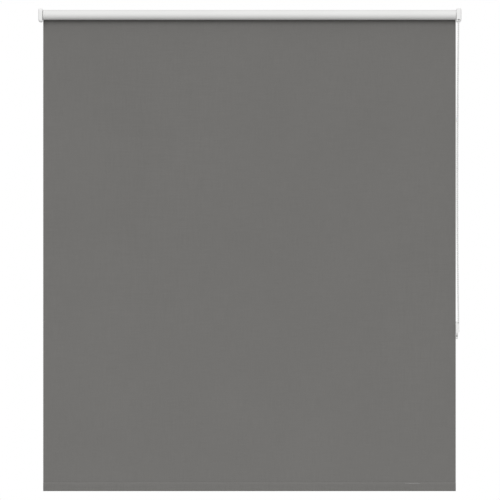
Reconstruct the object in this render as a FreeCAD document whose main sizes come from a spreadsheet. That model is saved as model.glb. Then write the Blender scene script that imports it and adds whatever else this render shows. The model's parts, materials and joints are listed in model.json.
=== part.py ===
import FreeCAD, Part
import math
import os
import re

import Sketcher

# A chain-operated roller blind, fully lowered. Millimetres, +Z up, +X to the right from the room.
# The wall is the plane y = 0, and the blind hangs in front of it, towards -Y.
# The origin lies on the wall, midway between the brackets and level with the roller's axis.

DIMENSIONS = {
    # the whole blind
    "overall_width": 1300,
    "axis_from_wall": 26,
    "running_fit": 0.05,
    "close_gap": 0.1,
    "past": 1,
    # cloth, measured from the middle of the blind and from the roller's axis
    "cloth_left": 634.9,
    "cloth_right": 632.7,
    "cloth_thickness": 0.4,
    "cloth_start": 5,
    "cloth_bottom": 1463,
    "roll_radius": 15.35,
    # hem and the bar in it
    "hem_depth": 26,
    "hem_thickness": 5.7,
    "weld_height": 5,
    "bar_depth": 24.4,
    "bar_thickness": 4.6,
    "bar_wall": 0.9,
    "bar_cap_head": 1.4,
    "bar_cap_overhang": 0.2,
    "bar_cap_plug": 10,
    # roller tube
    "tube_radius": 14,
    "tube_wall": 1,
    "key_width": 3,
    "key_depth": 1.5,
    "key_fit": 0.2,
    "tape_width": 6,
    "tape_thickness": 0.2,
    "tape_depth": 0.55,
    "tape_fit": 0.1,
    "tape_gap": 0.01,
    "roll_gap": 0.02,
    "flange_thickness": 1,
    "plug_length": 44,
    # covers over the brackets
    "cover_left_width": 13,
    "cover_right_width": 15.5,
    "cover_depth": 48,
    "cover_top": 20.4,
    "cover_bottom": 22.4,
    "cover_wall": 1.6,
    "cover_inner_wall": 1.2,
    "cover_top_round": 5,
    "cover_bottom_round": 8,
    "cover_front_round": 2,
    # steel brackets
    "cover_fit": 0.3,
    "bracket_inset": 1.8,
    "plate_thickness": 2,
    "plate_depth": 40,
    "plate_bottom": 15.5,
    "plate_bend_radius": 3,
    "wall_flange_rise": 15,
    "wall_flange_reach": 24,
    "ceiling_flange_reach": 11,
    "screw_hole_radius": 2.1,
    "wall_hole_from_end": 16,
    "wall_hole_rise": 11,
    "ceiling_hole_from_end": 7,
    "ceiling_hole_near": 12,
    "ceiling_hole_far": 32,
    # idle end
    "spigot_radius": 4,
    "bush_radius": 7,
    "bush_end": 10,
    "pin_radius": 3,
    "pin_tip": 5,
    "pin_tip_gap": 0.8,
    "pin_chamfer": 1,
    "pin_end": 40,
    "collar_radius": 5,
    "collar_end": 19,
    "plug_start": 14,
    "plug_bore_radius": 5.2,
    "plug_bore_end": 50,
    "plug_cap_radius": 6.5,
    "plug_cap_end": 16,
    "spring_mean_radius": 4.3,
    "spring_wire_radius": 0.4,
    "spring_turns": 8,
    # chain drive
    "post_base_radius": 13,
    "post_base_end": 4.8,
    "post_radius": 6,
    "post_end": 64,
    "post_bore_radius": 1.7,
    "post_bore_spare": 1,
    "guard_radius": 17,
    "guard_wall": 1.2,
    "guard_face": 0.6,
    "guard_end": 12.8,
    "guard_open_below": 3,
    "wheel_start": 5.6,
    "wheel_width": 6.8,
    "wheel_radius": 16.6,
    "wheel_pitch_radius": 14.32,
    "wheel_pockets": 15,
    "wheel_groove_radius": 2.55,
    "wheel_pocket_radius": 3,
    "hub_inner_radius": 7.4,
    "hub_outer_radius": 8.7,
    "hub_end": 24,
    "hub_root": 1,
    "tongue_end": 60,
    "tongue_width": 3,
    "tongue_inner_gap": 0.4,
    "tongue_outer_gap": 0.6,
    "spring_sleeve_radius": 7.05,
    "tang_radius": 8.5,
    "tang_width": 1.2,
    "tang_root": 1,
    "tang_side_gap": 0.6,
    "tang_end_gap": 0.4,
    "clutch_spring_length": 15,
    "clutch_spring_first": 26,
    "clutch_spring_second": 43,
    "sleeve_start": 16.2,
    "sleeve_bore_radius": 9,
    "sleeve_end_wall": 2,
    "sleeve_rib_width": 4,
    "sleeve_rib_root": 0.5,
    "sleeve_rib_gap": 0.4,
    "sleeve_rib_clearance": 0.5,
    "washer_radius": 8.5,
    "washer_thickness": 1,
    "screw_head_radius": 4,
    "screw_head_height": 3,
    "screw_head_chamfer": 0.8,
    "screw_socket_radius": 1.5,
    "screw_socket_depth": 2,
    "screw_shank_radius": 1.65,
    "screw_shank_length": 25,
    # bead chain and the holder of its lower end
    "chain_radius": 2.25,
    "chain_from_end": 9,
    "chain_slot": 6.4,
    "chain_notch_width": 7.4,
    "chain_notch_height": 9.4,
    "peg_radius": 4.5,
    "peg_from_wall": 19,
    "peg_drop": 960,
    "peg_from_end": 9.2,
    "peg_chain_gap": 0.3,
    "peg_end_gap": 0.2,
    "connector_radius": 3,
    "connector_length": 14,
    "connector_drop": 300,
    "clip_from_end": 16.4,
    "clip_width": 10,
    "clip_wall": 1.2,
    "clip_back": 2.4,
    "clip_depth": 31,
    "clip_top": 941.8,
    "clip_floor": 986.5,
    "clip_bottom": 995.7,
    "clip_slope_drop": 972,
    "clip_slope_depth": 20,
    "clip_round": 4,
    "clip_corner_width": 4.6,
    "clip_corner_height": 13,
    "clip_entry_width": 6,
    "clip_entry_height": 8,
    "clip_tab_width": 5.4,
    "clip_hole_radius": 1.5,
    "clip_hole_drop": 991.2,
}

doc = FreeCAD.newDocument("roller_blind")
sheet = doc.addObject("Spreadsheet::Sheet", "dims")
parts = []


def fill_sheet():
    for row, (alias, value) in enumerate(DIMENSIONS.items(), start=1):
        sheet.set(f"A{row}", str(value))
        sheet.setAlias(f"A{row}", alias)
    doc.recompute()


def formula(text):
    """An expression whose dimension names point at the sheet."""
    return re.sub(r"[a-z_]+", lambda word: "dims." + word[0] if word[0] in DIMENSIONS else word[0], str(text))


def size(text):
    """The value of an expression, for geometry that is worked out in code."""
    return float(sheet.evalExpression(formula(text)))


def bind(item, **properties):
    """Set an object's properties from expressions."""
    for name, text in properties.items():
        item.setExpression(name, formula(text))


def keep(item, label):
    """Give a finished sub-part its name and list it for export."""
    item.Label = label
    parts.append(item)
    return item


def place(item, x="0", y="0", z="0"):
    for axis, text in (("x", x), ("y", y), ("z", z)):
        item.setExpression(f"Placement.Base.{axis}", formula(text))


# ---------------------------------------------------------------- PartDesign helpers


def new_body(label, x="0", y="0", z="0"):
    body = doc.addObject("PartDesign::Body", label)
    place(body, x, y, z)
    return keep(body, label)


def pin_point(sketch, element, point, x, y):
    """Hold a sketch point at x, y from the sketch's origin."""
    for kind, text in (("DistanceX", x), ("DistanceY", y)):
        held = sketch.addConstraint(Sketcher.Constraint(kind, -1, 1, element, point, size(text)))
        sketch.setExpression(f"Constraints[{held}]", formula(text))


def draw_circle(sketch, x, y, radius):
    centre = FreeCAD.Vector(size(x), size(y), 0)
    circle = sketch.addGeometry(Part.Circle(centre, FreeCAD.Vector(0, 0, 1), size(radius)))
    held = sketch.addConstraint(Sketcher.Constraint("Radius", circle, size(radius)))
    sketch.setExpression(f"Constraints[{held}]", formula(radius))
    pin_point(sketch, circle, 3, x, y)


def draw_outline(sketch, corners):
    """A closed outline of straight lines through the corners."""
    points = [FreeCAD.Vector(size(x), size(y), 0) for x, y in corners]
    count = len(points)
    lines = [
        sketch.addGeometry(Part.LineSegment(points[i], points[(i + 1) % count]))
        for i in range(count)
    ]
    for i, line in enumerate(lines):
        sketch.addConstraint(Sketcher.Constraint("Coincident", line, 2, lines[(i + 1) % count], 1))
        pin_point(sketch, line, 1, *corners[i])


def draw_oval(sketch, half, low, high):
    """Two half circles joined by straight sides, upright and centred on the sketch's y axis."""
    radius, bottom, top = size(half), size(f"({low}) + ({half})"), size(f"({high}) - ({half})")
    up, turn = FreeCAD.Vector(0, 0, 1), math.pi
    upper = Part.Circle(FreeCAD.Vector(0, top, 0), up, radius)
    lower = Part.Circle(FreeCAD.Vector(0, bottom, 0), up, radius)
    upper_arc = sketch.addGeometry(Part.ArcOfCircle(upper, 0, turn))
    lower_arc = sketch.addGeometry(Part.ArcOfCircle(lower, turn, 2 * turn))
    left = Part.LineSegment(FreeCAD.Vector(-radius, top, 0), FreeCAD.Vector(-radius, bottom, 0))
    right = Part.LineSegment(FreeCAD.Vector(radius, bottom, 0), FreeCAD.Vector(radius, top, 0))
    left_side, right_side = sketch.addGeometry(left), sketch.addGeometry(right)
    joints = [
        (upper_arc, 2, left_side, 1), (left_side, 2, lower_arc, 1),
        (lower_arc, 2, right_side, 1), (right_side, 2, upper_arc, 1),
    ]
    for joint in joints:
        sketch.addConstraint(Sketcher.Constraint("Tangent", *joint))
    pin_point(sketch, upper_arc, 3, "0", f"({high}) - ({half})")
    pin_point(sketch, lower_arc, 3, "0", f"({low}) + ({half})")
    held = sketch.addConstraint(Sketcher.Constraint("Radius", upper_arc, radius))
    sketch.setExpression(f"Constraints[{held}]", formula(half))


def new_sketch(body, plane, name, loops, offset="0"):
    """A held sketch on an origin plane of the body; a loop is a circle, an oval or a list of corners."""
    flat = next(item for item in body.Origin.OriginFeatures if item.Role == plane)
    sketch = body.newObject("Sketcher::SketchObject", f"{body.Name}_{name}")
    sketch.AttachmentSupport = (flat, [""])
    sketch.MapMode = "FlatFace"
    sketch.setExpression("AttachmentOffset.Base.z", formula(offset))
    for loop in loops:
        if isinstance(loop, tuple):
            draw_circle(sketch, *loop)
        elif isinstance(loop, dict):
            draw_oval(sketch, **loop)
        else:
            draw_outline(sketch, loop)
    return sketch


def oval(half, low, high):
    return {"half": half, "low": low, "high": high}


def rectangle(x_low, x_high, y_low, y_high):
    return [(x_low, y_low), (x_high, y_low), (x_high, y_high), (x_low, y_high)]


def extrude(kind, body, plane, name, loops, length, offset="0", backwards=False, both_ways=False):
    """A Pad or a Pocket of a sketch; a Pocket has to take something away."""
    sketch = new_sketch(body, plane, name, loops, offset)
    doc.recompute()
    before = 0 if kind == "Pad" else body.Shape.Volume
    feature = body.newObject(f"PartDesign::{kind}", f"{body.Name}_{name}_{kind}")
    feature.Profile = sketch
    feature.Reversed = backwards
    feature.SideType = "Symmetric" if both_ways else "One side"
    bind(feature, Length=length)
    doc.recompute()
    if kind == "Pocket" and body.Shape.Volume > before - 0.01:
        raise RuntimeError(f"{feature.Name} cuts nothing")
    return feature


def revolve(kind, body, name, loops):
    """A Revolution or a Groove about the body's X axis; y in the sketch is the radius."""
    sketch = new_sketch(body, "XZ_Plane", name, loops)
    doc.recompute()
    before = 0 if kind == "Revolution" else body.Shape.Volume
    feature = body.newObject(f"PartDesign::{kind}", f"{body.Name}_{name}_{kind}")
    feature.Profile = sketch
    feature.ReferenceAxis = (sketch, ["H_Axis"])
    feature.Angle = 360
    doc.recompute()
    if kind == "Groove" and body.Shape.Volume > before - 0.01:
        raise RuntimeError(f"{feature.Name} cuts nothing")
    return feature


def fillet(body, radius, chosen):
    """Round the edges of the body's last feature that the test chooses."""
    base = body.Tip
    names = [f"Edge{i}" for i, edge in enumerate(base.Shape.Edges, start=1) if chosen(edge)]
    if not names:
        raise RuntimeError(f"{body.Name} has no such edge")
    feature = body.newObject("PartDesign::Fillet", f"{body.Name}_Fillet")
    feature.Base = (base, names)
    bind(feature, Radius=radius)
    doc.recompute()
    return feature


def edge_along(edge, axis, **places):
    """Whether an edge is straight, runs along an axis and lies at the given places."""
    ends = [vertex.Point for vertex in edge.Vertexes]
    if len(ends) != 2 or not isinstance(edge.Curve, Part.Line):
        return False
    across = [name for name in "xyz" if name != axis]
    straight = all(abs(getattr(ends[0], name) - getattr(ends[1], name)) < 1e-4 for name in across)
    return straight and all(abs(getattr(ends[0], name) - at) < 1e-3 for name, at in places.items())


# ---------------------------------------------------------------- the two ends
# Left and right pieces are drawn from the blind's outer end inwards.
# side is "-" for the left end, where inwards is +X, and "" for the right end, where it is -X.


def end_x(side):
    return f"{side}overall_width / 2"


def inward(side, text):
    return f"({text})" if side == "-" else f"-({text})"


def end_body(label, side, from_wall="axis_from_wall"):
    return new_body(label, x=end_x(side), y=f"-({from_wall})")


def lathe(label, side, *profiles):
    """A piece turned about the roller's axis, from profiles of (distance from the end, radius)."""
    body = end_body(label, side)
    for i, profile in enumerate(profiles):
        loop = [(inward(side, along), radius) for along, radius in profile]
        revolve("Revolution", body, f"profile{i}", [loop])
    return body


def ring(start, end, inner, outer):
    """The profile of a plain ring, sleeve or disc."""
    return [(start, inner), (end, inner), (end, outer), (start, outer)]


def across_end(side, low, high):
    """A sketch range along X, given as distances from the end."""
    return inward(side, low), inward(side, high)


def bracket(label, side, spigot):
    """A steel side plate with a flange against the wall and one under the ceiling."""
    body = new_body(label, x=end_x(side))
    towards_left = side == ""
    low, high = across_end(side, "bracket_inset", "wall_flange_reach")
    extrude(
        "Pad", body, "YZ_Plane", "side_plate",
        [rectangle("-plate_depth", "0", "-plate_bottom", "cover_top")],
        "plate_thickness", offset=inward(side, "bracket_inset"), backwards=towards_left,
    )
    extrude(
        "Pad", body, "XZ_Plane", "wall_flange",
        [rectangle(low, high, "-wall_flange_rise", "wall_flange_rise")], "plate_thickness",
    )
    low, high = across_end(side, "bracket_inset", "ceiling_flange_reach")
    extrude(
        "Pad", body, "XY_Plane", "ceiling_flange", [rectangle(low, high, "-plate_depth", "0")],
        "plate_thickness", offset="cover_top - plate_thickness",
    )
    outer, inner = size(inward(side, "bracket_inset")), size(inward(side, "bracket_inset + plate_thickness"))
    top, under = size("cover_top"), size("cover_top - plate_thickness")
    fillet(body, "plate_bend_radius", lambda edge: edge_along(edge, "y", x=outer, z=top))
    fillet(
        body, "plate_bend_radius - plate_thickness",
        lambda edge: edge_along(edge, "y", x=inner, z=under),
    )
    hole = inward(side, "wall_hole_from_end")
    holes = [(hole, rise, "screw_hole_radius") for rise in ("wall_hole_rise", "-wall_hole_rise")]
    extrude("Pocket", body, "XZ_Plane", "wall_holes", holes, "plate_thickness * 4", both_ways=True)
    hole = inward(side, "ceiling_hole_from_end")
    holes = [(hole, f"-{far}", "screw_hole_radius") for far in ("ceiling_hole_near", "ceiling_hole_far")]
    extrude(
        "Pocket", body, "XY_Plane", "ceiling_holes", holes, "plate_thickness * 4",
        offset="cover_top", both_ways=True,
    )
    extrude(
        "Pocket", body, "YZ_Plane", "spigot_hole", [("-axis_from_wall", "0", spigot)],
        "plate_thickness * 4", offset=inward(side, "bracket_inset"), both_ways=True,
    )
    return body


def bracket_cover(label, side, width, slot):
    """A moulded cover that slides over a bracket from the front, open behind and above the flange."""
    body = new_body(label, x=end_x(side))
    towards_left = side == ""
    extrude(
        "Pad", body, "YZ_Plane", "block", [rectangle("-cover_depth", "0", "-cover_bottom", "cover_top")],
        width, backwards=towards_left,
    )
    low, high = "cover_wall - cover_bottom", "cover_top - cover_wall"
    inside = rectangle("cover_wall - cover_depth", "past", low, high)
    extrude(
        "Pocket", body, "YZ_Plane", "inside", [inside],
        f"{width} - cover_wall - cover_inner_wall", offset=inward(side, "cover_wall"),
        backwards=not towards_left,
    )
    corner = {"x": size(inward(side, "cover_wall")), "z": size("cover_wall - cover_bottom")}
    fillet(body, "cover_bottom_round - cover_wall", lambda edge: edge_along(edge, "y", **corner))
    outer = {"x": 0}
    fillet(body, "cover_top_round", lambda edge: edge_along(edge, "y", z=size("cover_top"), **outer))
    fillet(body, "cover_bottom_round", lambda edge: edge_along(edge, "y", z=-size("cover_bottom"), **outer))
    front = -size("cover_depth")
    fillet(
        body, "cover_front_round",
        lambda edge: all(abs(vertex.Point.y - front) < 1e-3 for vertex in edge.Vertexes),
    )
    low, high = across_end(side, "cover_wall", f"{width} - cover_inner_wall")
    extrude(
        "Pocket", body, "XY_Plane", "top_opening", [rectangle(low, high, "-plate_depth - cover_fit", "past")],
        "cover_wall * 2", offset="cover_top", both_ways=True,
    )
    inner_face = inward(side, f"{width} - cover_inner_wall / 2")
    extrude(
        "Pocket", body, "YZ_Plane", "slot_end", [("-axis_from_wall", "0", slot)],
        "cover_inner_wall * 2", offset=inner_face, both_ways=True,
    )
    extrude(
        "Pocket", body, "YZ_Plane", "slot", [rectangle("-axis_from_wall", "past", f"-{slot}", slot)],
        "cover_inner_wall * 2", offset=inner_face, both_ways=True,
    )
    low, high = "-plate_bottom - cover_fit", "cover_top - cover_wall"
    extrude(
        "Pocket", body, "YZ_Plane", "flange_notch",
        [rectangle("-plate_thickness - cover_fit", "past", low, high)],
        "cover_inner_wall * 2", offset=inner_face, both_ways=True,
    )
    return body


def cut_chain_slots(cover):
    """Two slots through the cover's underside, open on its inner side, where the chain leaves."""
    low = "-(cover_right_width + past)"
    high = "-(chain_from_end - chain_slot / 2)"
    for name, sign in (("front_slot", "-"), ("rear_slot", "+")):
        strand = f"-axis_from_wall {sign} wheel_pitch_radius"
        slot = rectangle(low, high, f"{strand} - chain_slot / 2", f"{strand} + chain_slot / 2")
        extrude(
            "Pocket", cover, "XY_Plane", name, [slot], "cover_wall * 5",
            offset="-cover_bottom", both_ways=True,
        )
    low, high = "-(chain_from_end + chain_notch_width / 2)", "-(chain_from_end - chain_notch_width / 2)"
    notch = rectangle(low, high, "-cover_bottom - past", "chain_notch_height - cover_bottom")
    extrude(
        "Pocket", cover, "XZ_Plane", "front_notch", [notch], "cover_wall * 4",
        offset="cover_depth", both_ways=True,
    )


# ---------------------------------------------------------------- idle end


def idle_bush():
    """The socket in the left bracket that the pin turns in, held by a spigot through the plate."""
    plate_end = "bracket_inset + plate_thickness"
    return lathe(
        "idle_bush", "-",
        [
            ("bracket_inset", "0"),
            ("pin_tip - pin_tip_gap", "0"),
            ("pin_tip - pin_tip_gap", "pin_radius + running_fit"),
            ("bush_end", "pin_radius + running_fit"),
            ("bush_end", "bush_radius"),
            (plate_end, "bush_radius"),
            (plate_end, "spigot_radius"),
            ("bracket_inset", "spigot_radius"),
        ],
    )


def idle_pin():
    """The sprung pin, with the collar that its spring pushes on."""
    return lathe(
        "idle_pin", "-",
        [
            ("pin_tip", "0"),
            ("pin_end", "0"),
            ("pin_end", "pin_radius"),
            ("collar_end", "pin_radius"),
            ("collar_end", "collar_radius"),
            ("plug_cap_end + close_gap", "collar_radius"),
            ("plug_cap_end + close_gap", "pin_radius"),
            ("pin_tip + pin_chamfer", "pin_radius"),
            ("pin_tip", "pin_radius - pin_chamfer"),
        ],
    )


def cut_key_slot(body, side, start, end):
    """A slot along the piece for the rib inside the tube."""
    low, high = across_end(side, start, end)
    outer = "tube_radius - tube_wall"
    half = "(key_width / 2 + key_fit)"
    slot = rectangle(f"-{half}", half, f"-({outer}) - past", f"key_depth + key_fit - ({outer})")
    extrude(
        "Pocket", body, "YZ_Plane", "key_slot", [slot], f"({end}) - ({start})",
        offset=low, backwards=side == "-",
    )
    return high


def idle_plug():
    """The flanged plug in the tube's free end, bored for the pin and its spring."""
    flange_end = "plug_start + flange_thickness"
    plug_end = f"{flange_end} + plug_length"
    radius = "tube_radius - tube_wall - running_fit"
    body = lathe(
        "idle_plug", "-",
        [
            ("plug_start", "plug_cap_radius"),
            ("plug_cap_end", "plug_cap_radius"),
            ("plug_cap_end", "plug_bore_radius"),
            ("plug_bore_end", "plug_bore_radius"),
            ("plug_bore_end", "0"),
            (plug_end, "0"),
            (plug_end, radius),
            (flange_end, radius),
            (flange_end, "roll_radius"),
            ("plug_start", "roll_radius"),
        ],
    )
    cut_key_slot(body, "-", flange_end, plug_end)
    return body


def idle_plug_cap():
    """The ring that closes the plug and keeps the pin's collar in."""
    return lathe(
        "idle_plug_cap", "-",
        ring("plug_start", "plug_cap_end", "pin_radius + running_fit", "plug_cap_radius"),
    )


def idle_spring():
    """A compression spring between the pin's collar and the end of the plug's bore."""
    helix = doc.addObject("Part::Helix", "idle_spring_helix")
    free = "plug_bore_end - collar_end - 2 * spring_wire_radius - close_gap"
    bind(helix, Radius="spring_mean_radius", Height=free, Pitch=f"({free}) / spring_turns")
    wire = doc.addObject("Part::Circle", "idle_spring_wire")
    bind(wire, Radius="spring_wire_radius")
    wire.Placement = FreeCAD.Placement(
        FreeCAD.Vector(size("spring_mean_radius"), 0, 0), FreeCAD.Rotation(FreeCAD.Vector(1, 0, 0), 90)
    )
    wire.setExpression("Placement.Base.x", formula("spring_mean_radius"))
    doc.recompute()
    spring = doc.addObject("Part::Sweep", "idle_spring")
    spring.Sections = [wire]
    spring.Spine = (helix, [f"Edge{i}" for i, _ in enumerate(helix.Shape.Edges, start=1)])
    spring.Solid = True
    spring.Frenet = True
    spring.Placement.Rotation = FreeCAD.Rotation(FreeCAD.Vector(0, 1, 0), 90)
    start = "collar_end + spring_wire_radius + close_gap / 2"
    place(spring, x=f"{start} - overall_width / 2", y="-axis_from_wall")
    return keep(spring, "idle_spring")


# ---------------------------------------------------------------- roller and cloth


def roller_tube():
    """An aluminium tube with a rib inside and a shallow flat channel for the tape outside."""
    start = "plug_start + flange_thickness - overall_width / 2"
    end = "overall_width / 2 - sleeve_start - flange_thickness"
    length = f"({end}) - ({start})"
    body = new_body("roller_tube", x=start, y="-axis_from_wall")
    inside = "tube_radius - tube_wall"
    extrude(
        "Pad", body, "YZ_Plane", "wall",
        [("0", "0", "tube_radius"), ("0", "0", inside)], length,
    )
    rib = rectangle("-key_width / 2", "key_width / 2", f"-({inside}) - key_fit", f"key_depth - ({inside})")
    extrude("Pad", body, "YZ_Plane", "rib", [rib], length)
    half = "(tape_width / 2 + tape_fit)"
    channel = rectangle(f"-{half}", half, "tube_radius - tape_depth - tape_gap", "tube_radius + past")
    extrude("Pocket", body, "YZ_Plane", "channel", [channel], length, backwards=True)
    return body


def cloth_body(label):
    return new_body(label, x="-cloth_left", y="-axis_from_wall")


def fabric_tape():
    """The strip of adhesive tape that holds the cloth to the tube."""
    body = cloth_body("fabric_tape")
    under = "tube_radius - tape_depth"
    strip = rectangle("-tape_width / 2", "tape_width / 2", under, f"{under} + tape_thickness")
    extrude("Pad", body, "YZ_Plane", "strip", [strip], "cloth_left + cloth_right")
    return body


def fabric_roll():
    """The cloth that stays wound on the tube when the blind is down."""
    body = cloth_body("fabric_roll")
    turns = [("0", "0", "roll_radius"), ("0", "0", "tube_radius + roll_gap")]
    extrude("Pad", body, "YZ_Plane", "turns", turns, "cloth_left + cloth_right")
    return body


def hem_top():
    return "cloth_bottom - hem_depth - weld_height"


def fabric_drop():
    """The hanging cloth, which leaves the back of the roll."""
    body = new_body("fabric_drop", y="-axis_from_wall + roll_radius")
    sheet_outline = rectangle("-cloth_left", "cloth_right", f"-({hem_top()})", "-cloth_start")
    extrude("Pad", body, "XZ_Plane", "sheet", [sheet_outline], "cloth_thickness")
    return body


def hem_axis():
    """The cloth's middle plane, as a distance from the wall."""
    return "axis_from_wall - roll_radius + cloth_thickness / 2"


def hem_pocket():
    """The cloth folded round the bar and welded to itself above it."""
    body = new_body("hem_pocket", x="-cloth_left", y=f"-({hem_axis()})", z="-cloth_bottom")
    width = "cloth_left + cloth_right"
    low, high = "hem_depth - hem_thickness / 4", "hem_depth + weld_height"
    weld = rectangle("-cloth_thickness", "cloth_thickness", low, high)
    extrude("Pad", body, "YZ_Plane", "weld", [weld], width)
    fold = oval("hem_thickness / 2", "0", "hem_depth")
    extrude("Pad", body, "YZ_Plane", "fold", [fold], width)
    room = oval("hem_thickness / 2 - cloth_thickness", "cloth_thickness", "hem_depth - cloth_thickness")
    extrude("Pocket", body, "YZ_Plane", "room", [room], width, backwards=True)
    return body


def bar_middle():
    return "-cloth_bottom + hem_depth / 2"


def bar_outline():
    return oval("bar_thickness / 2", "-bar_depth / 2", "bar_depth / 2")


def bar_room(gap):
    """The outline of the hollow in the bar, smaller all round by a gap."""
    rise = f"bar_depth / 2 - bar_wall - {gap}"
    return oval(f"bar_thickness / 2 - bar_wall - {gap}", f"-({rise})", rise)


def bottom_bar():
    """A hollow oval bar that weighs the cloth down."""
    inset = "bar_cap_head - bar_cap_overhang"
    body = new_body("bottom_bar", x=f"-cloth_left + {inset}", y=f"-({hem_axis()})", z=bar_middle())
    length = f"cloth_left + cloth_right - 2 * ({inset})"
    extrude("Pad", body, "YZ_Plane", "bar", [bar_outline(), bar_room("0")], length)
    return body


def bar_end_cap(label, side):
    """A plug in the end of the bar, with a head as large as the bar."""
    edge = "-cloth_left - bar_cap_overhang" if side == "-" else "cloth_right + bar_cap_overhang"
    body = new_body(label, x=edge, y=f"-({hem_axis()})", z=bar_middle())
    towards_left = side == ""
    extrude("Pad", body, "YZ_Plane", "head", [bar_outline()], "bar_cap_head", backwards=towards_left)
    extrude(
        "Pad", body, "YZ_Plane", "plug", [bar_room("running_fit")],
        "bar_cap_head + bar_cap_plug", backwards=towards_left,
    )
    return body


# ---------------------------------------------------------------- chain drive


def control_post():
    """The fixed post that carries the drive, held by a spigot through the right plate."""
    plate_end = "bracket_inset + plate_thickness"
    screw_depth = "post_end - screw_shank_length - post_bore_spare"
    return lathe(
        "control_post", "",
        [
            ("bracket_inset", "0"),
            (screw_depth, "0"),
            (screw_depth, "post_bore_radius"),
            ("post_end", "post_bore_radius"),
            ("post_end", "post_radius"),
            ("post_base_end", "post_radius"),
            ("post_base_end", "post_base_radius"),
            (plate_end, "post_base_radius"),
            (plate_end, "spigot_radius"),
            ("bracket_inset", "spigot_radius"),
        ],
    )


def chain_guard():
    """The cup round the chain wheel, open below where the chain hangs out."""
    face_end = "post_base_end + guard_face"
    outer = "guard_radius + guard_wall"
    body = lathe(
        "chain_guard", "",
        [
            ("post_base_end", "post_radius + running_fit"),
            (face_end, "post_radius + running_fit"),
            (face_end, "guard_radius"),
            ("guard_end", "guard_radius"),
            ("guard_end", outer),
            ("post_base_end", outer),
        ],
    )
    low, high = across_end("", face_end, "guard_end + past")
    extrude(
        "Pocket", body, "XY_Plane", "opening",
        [rectangle(low, high, f"-({outer}) - past", f"{outer} + past")],
        "guard_radius + guard_wall", offset="-guard_open_below",
    )
    return body


def chain_wheel():
    """The wheel that the beads sit in, its hub and the tongue that frees the springs."""
    end = "wheel_start + wheel_width"
    middle = "-(wheel_start + wheel_width / 2)"
    bore = "post_radius + running_fit"
    body = lathe(
        "chain_wheel", "",
        ring("wheel_start", end, bore, "wheel_radius"),
        ring(f"{end} - hub_root", "hub_end", "hub_inner_radius", "hub_outer_radius"),
    )
    revolve("Groove", body, "bed", [(middle, "wheel_pitch_radius", "wheel_groove_radius")])
    mouth = rectangle(
        f"{middle} - wheel_groove_radius", f"{middle} + wheel_groove_radius",
        "wheel_pitch_radius", "wheel_radius + past",
    )
    revolve("Groove", body, "mouth", [mouth])
    base = body.Tip
    pocket = body.newObject("PartDesign::SubtractiveSphere", "chain_wheel_pocket")
    bind(pocket, Radius="wheel_pocket_radius")
    pocket.setExpression("Placement.Base.x", formula(middle))
    pocket.setExpression("Placement.Base.z", formula("wheel_pitch_radius"))
    doc.recompute()
    pattern = body.newObject("PartDesign::PolarPattern", "chain_wheel_pockets")
    pattern.Originals = [pocket]
    pattern.Axis = (next(item for item in body.Origin.OriginFeatures if item.Role == "X_Axis"), [""])
    pattern.Angle = 360
    bind(pattern, Occurrences="wheel_pockets")
    body.Tip = pattern
    doc.recompute()
    if body.Shape.Volume > base.Shape.Volume - 10:
        raise RuntimeError("the wheel's pockets cut nothing")
    half = "tongue_width / 2"
    low, high = "hub_inner_radius + tongue_inner_gap", "hub_outer_radius - tongue_outer_gap"
    tongue = rectangle(f"-{half}", half, low, high)
    extrude(
        "Pad", body, "YZ_Plane", "tongue", [tongue], "tongue_end - hub_end + hub_root",
        offset="-(hub_end - hub_root)", backwards=True,
    )
    return body


def clutch_spring(label, start):
    """A close-wound spring that grips the post, with a tang at each end beside the tongue."""
    end = f"{start} + clutch_spring_length"
    body = lathe(label, "", ring(start, end, "post_radius + running_fit", "spring_sleeve_radius"))
    for name, sign, along in (("first_tang", "-", start), ("last_tang", "", f"{end} - tang_width")):
        side = "tongue_width / 2 + tang_side_gap"
        near, far = f"{sign}({side})", f"{sign}({side} + tang_width)"
        tang = rectangle(near, far, "spring_sleeve_radius - tang_root", "tang_radius - tang_end_gap")
        extrude(
            "Pad", body, "YZ_Plane", name, [tang], "tang_width",
            offset=f"-({along})", backwards=True,
        )
    return body


def drive_sleeve():
    """The flanged sleeve that turns the tube; its inner rib meets the springs' tangs."""
    flange_end = "sleeve_start + flange_thickness"
    body = lathe(
        "drive_sleeve", "",
        [
            ("sleeve_start", "sleeve_bore_radius"),
            ("post_end - sleeve_end_wall", "sleeve_bore_radius"),
            ("post_end - sleeve_end_wall", "post_radius + running_fit"),
            ("post_end", "post_radius + running_fit"),
            ("post_end", "tube_radius - tube_wall - running_fit"),
            (flange_end, "tube_radius - tube_wall - running_fit"),
            (flange_end, "roll_radius"),
            ("sleeve_start", "roll_radius"),
        ],
    )
    half = "sleeve_rib_width / 2"
    rib = rectangle(
        f"-{half}", half, "-sleeve_bore_radius - sleeve_rib_root", "-spring_sleeve_radius - sleeve_rib_gap",
    )
    extrude(
        "Pad", body, "YZ_Plane", "rib", [rib], "post_end - sleeve_end_wall - hub_end",
        offset="-(hub_end + sleeve_rib_clearance)", backwards=True,
    )
    cut_key_slot(body, "", flange_end, "post_end")
    return body


def retaining_washer():
    return lathe(
        "retaining_washer", "",
        ring("post_end + running_fit", "post_end + washer_thickness", "post_bore_radius", "washer_radius"),
    )


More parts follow.
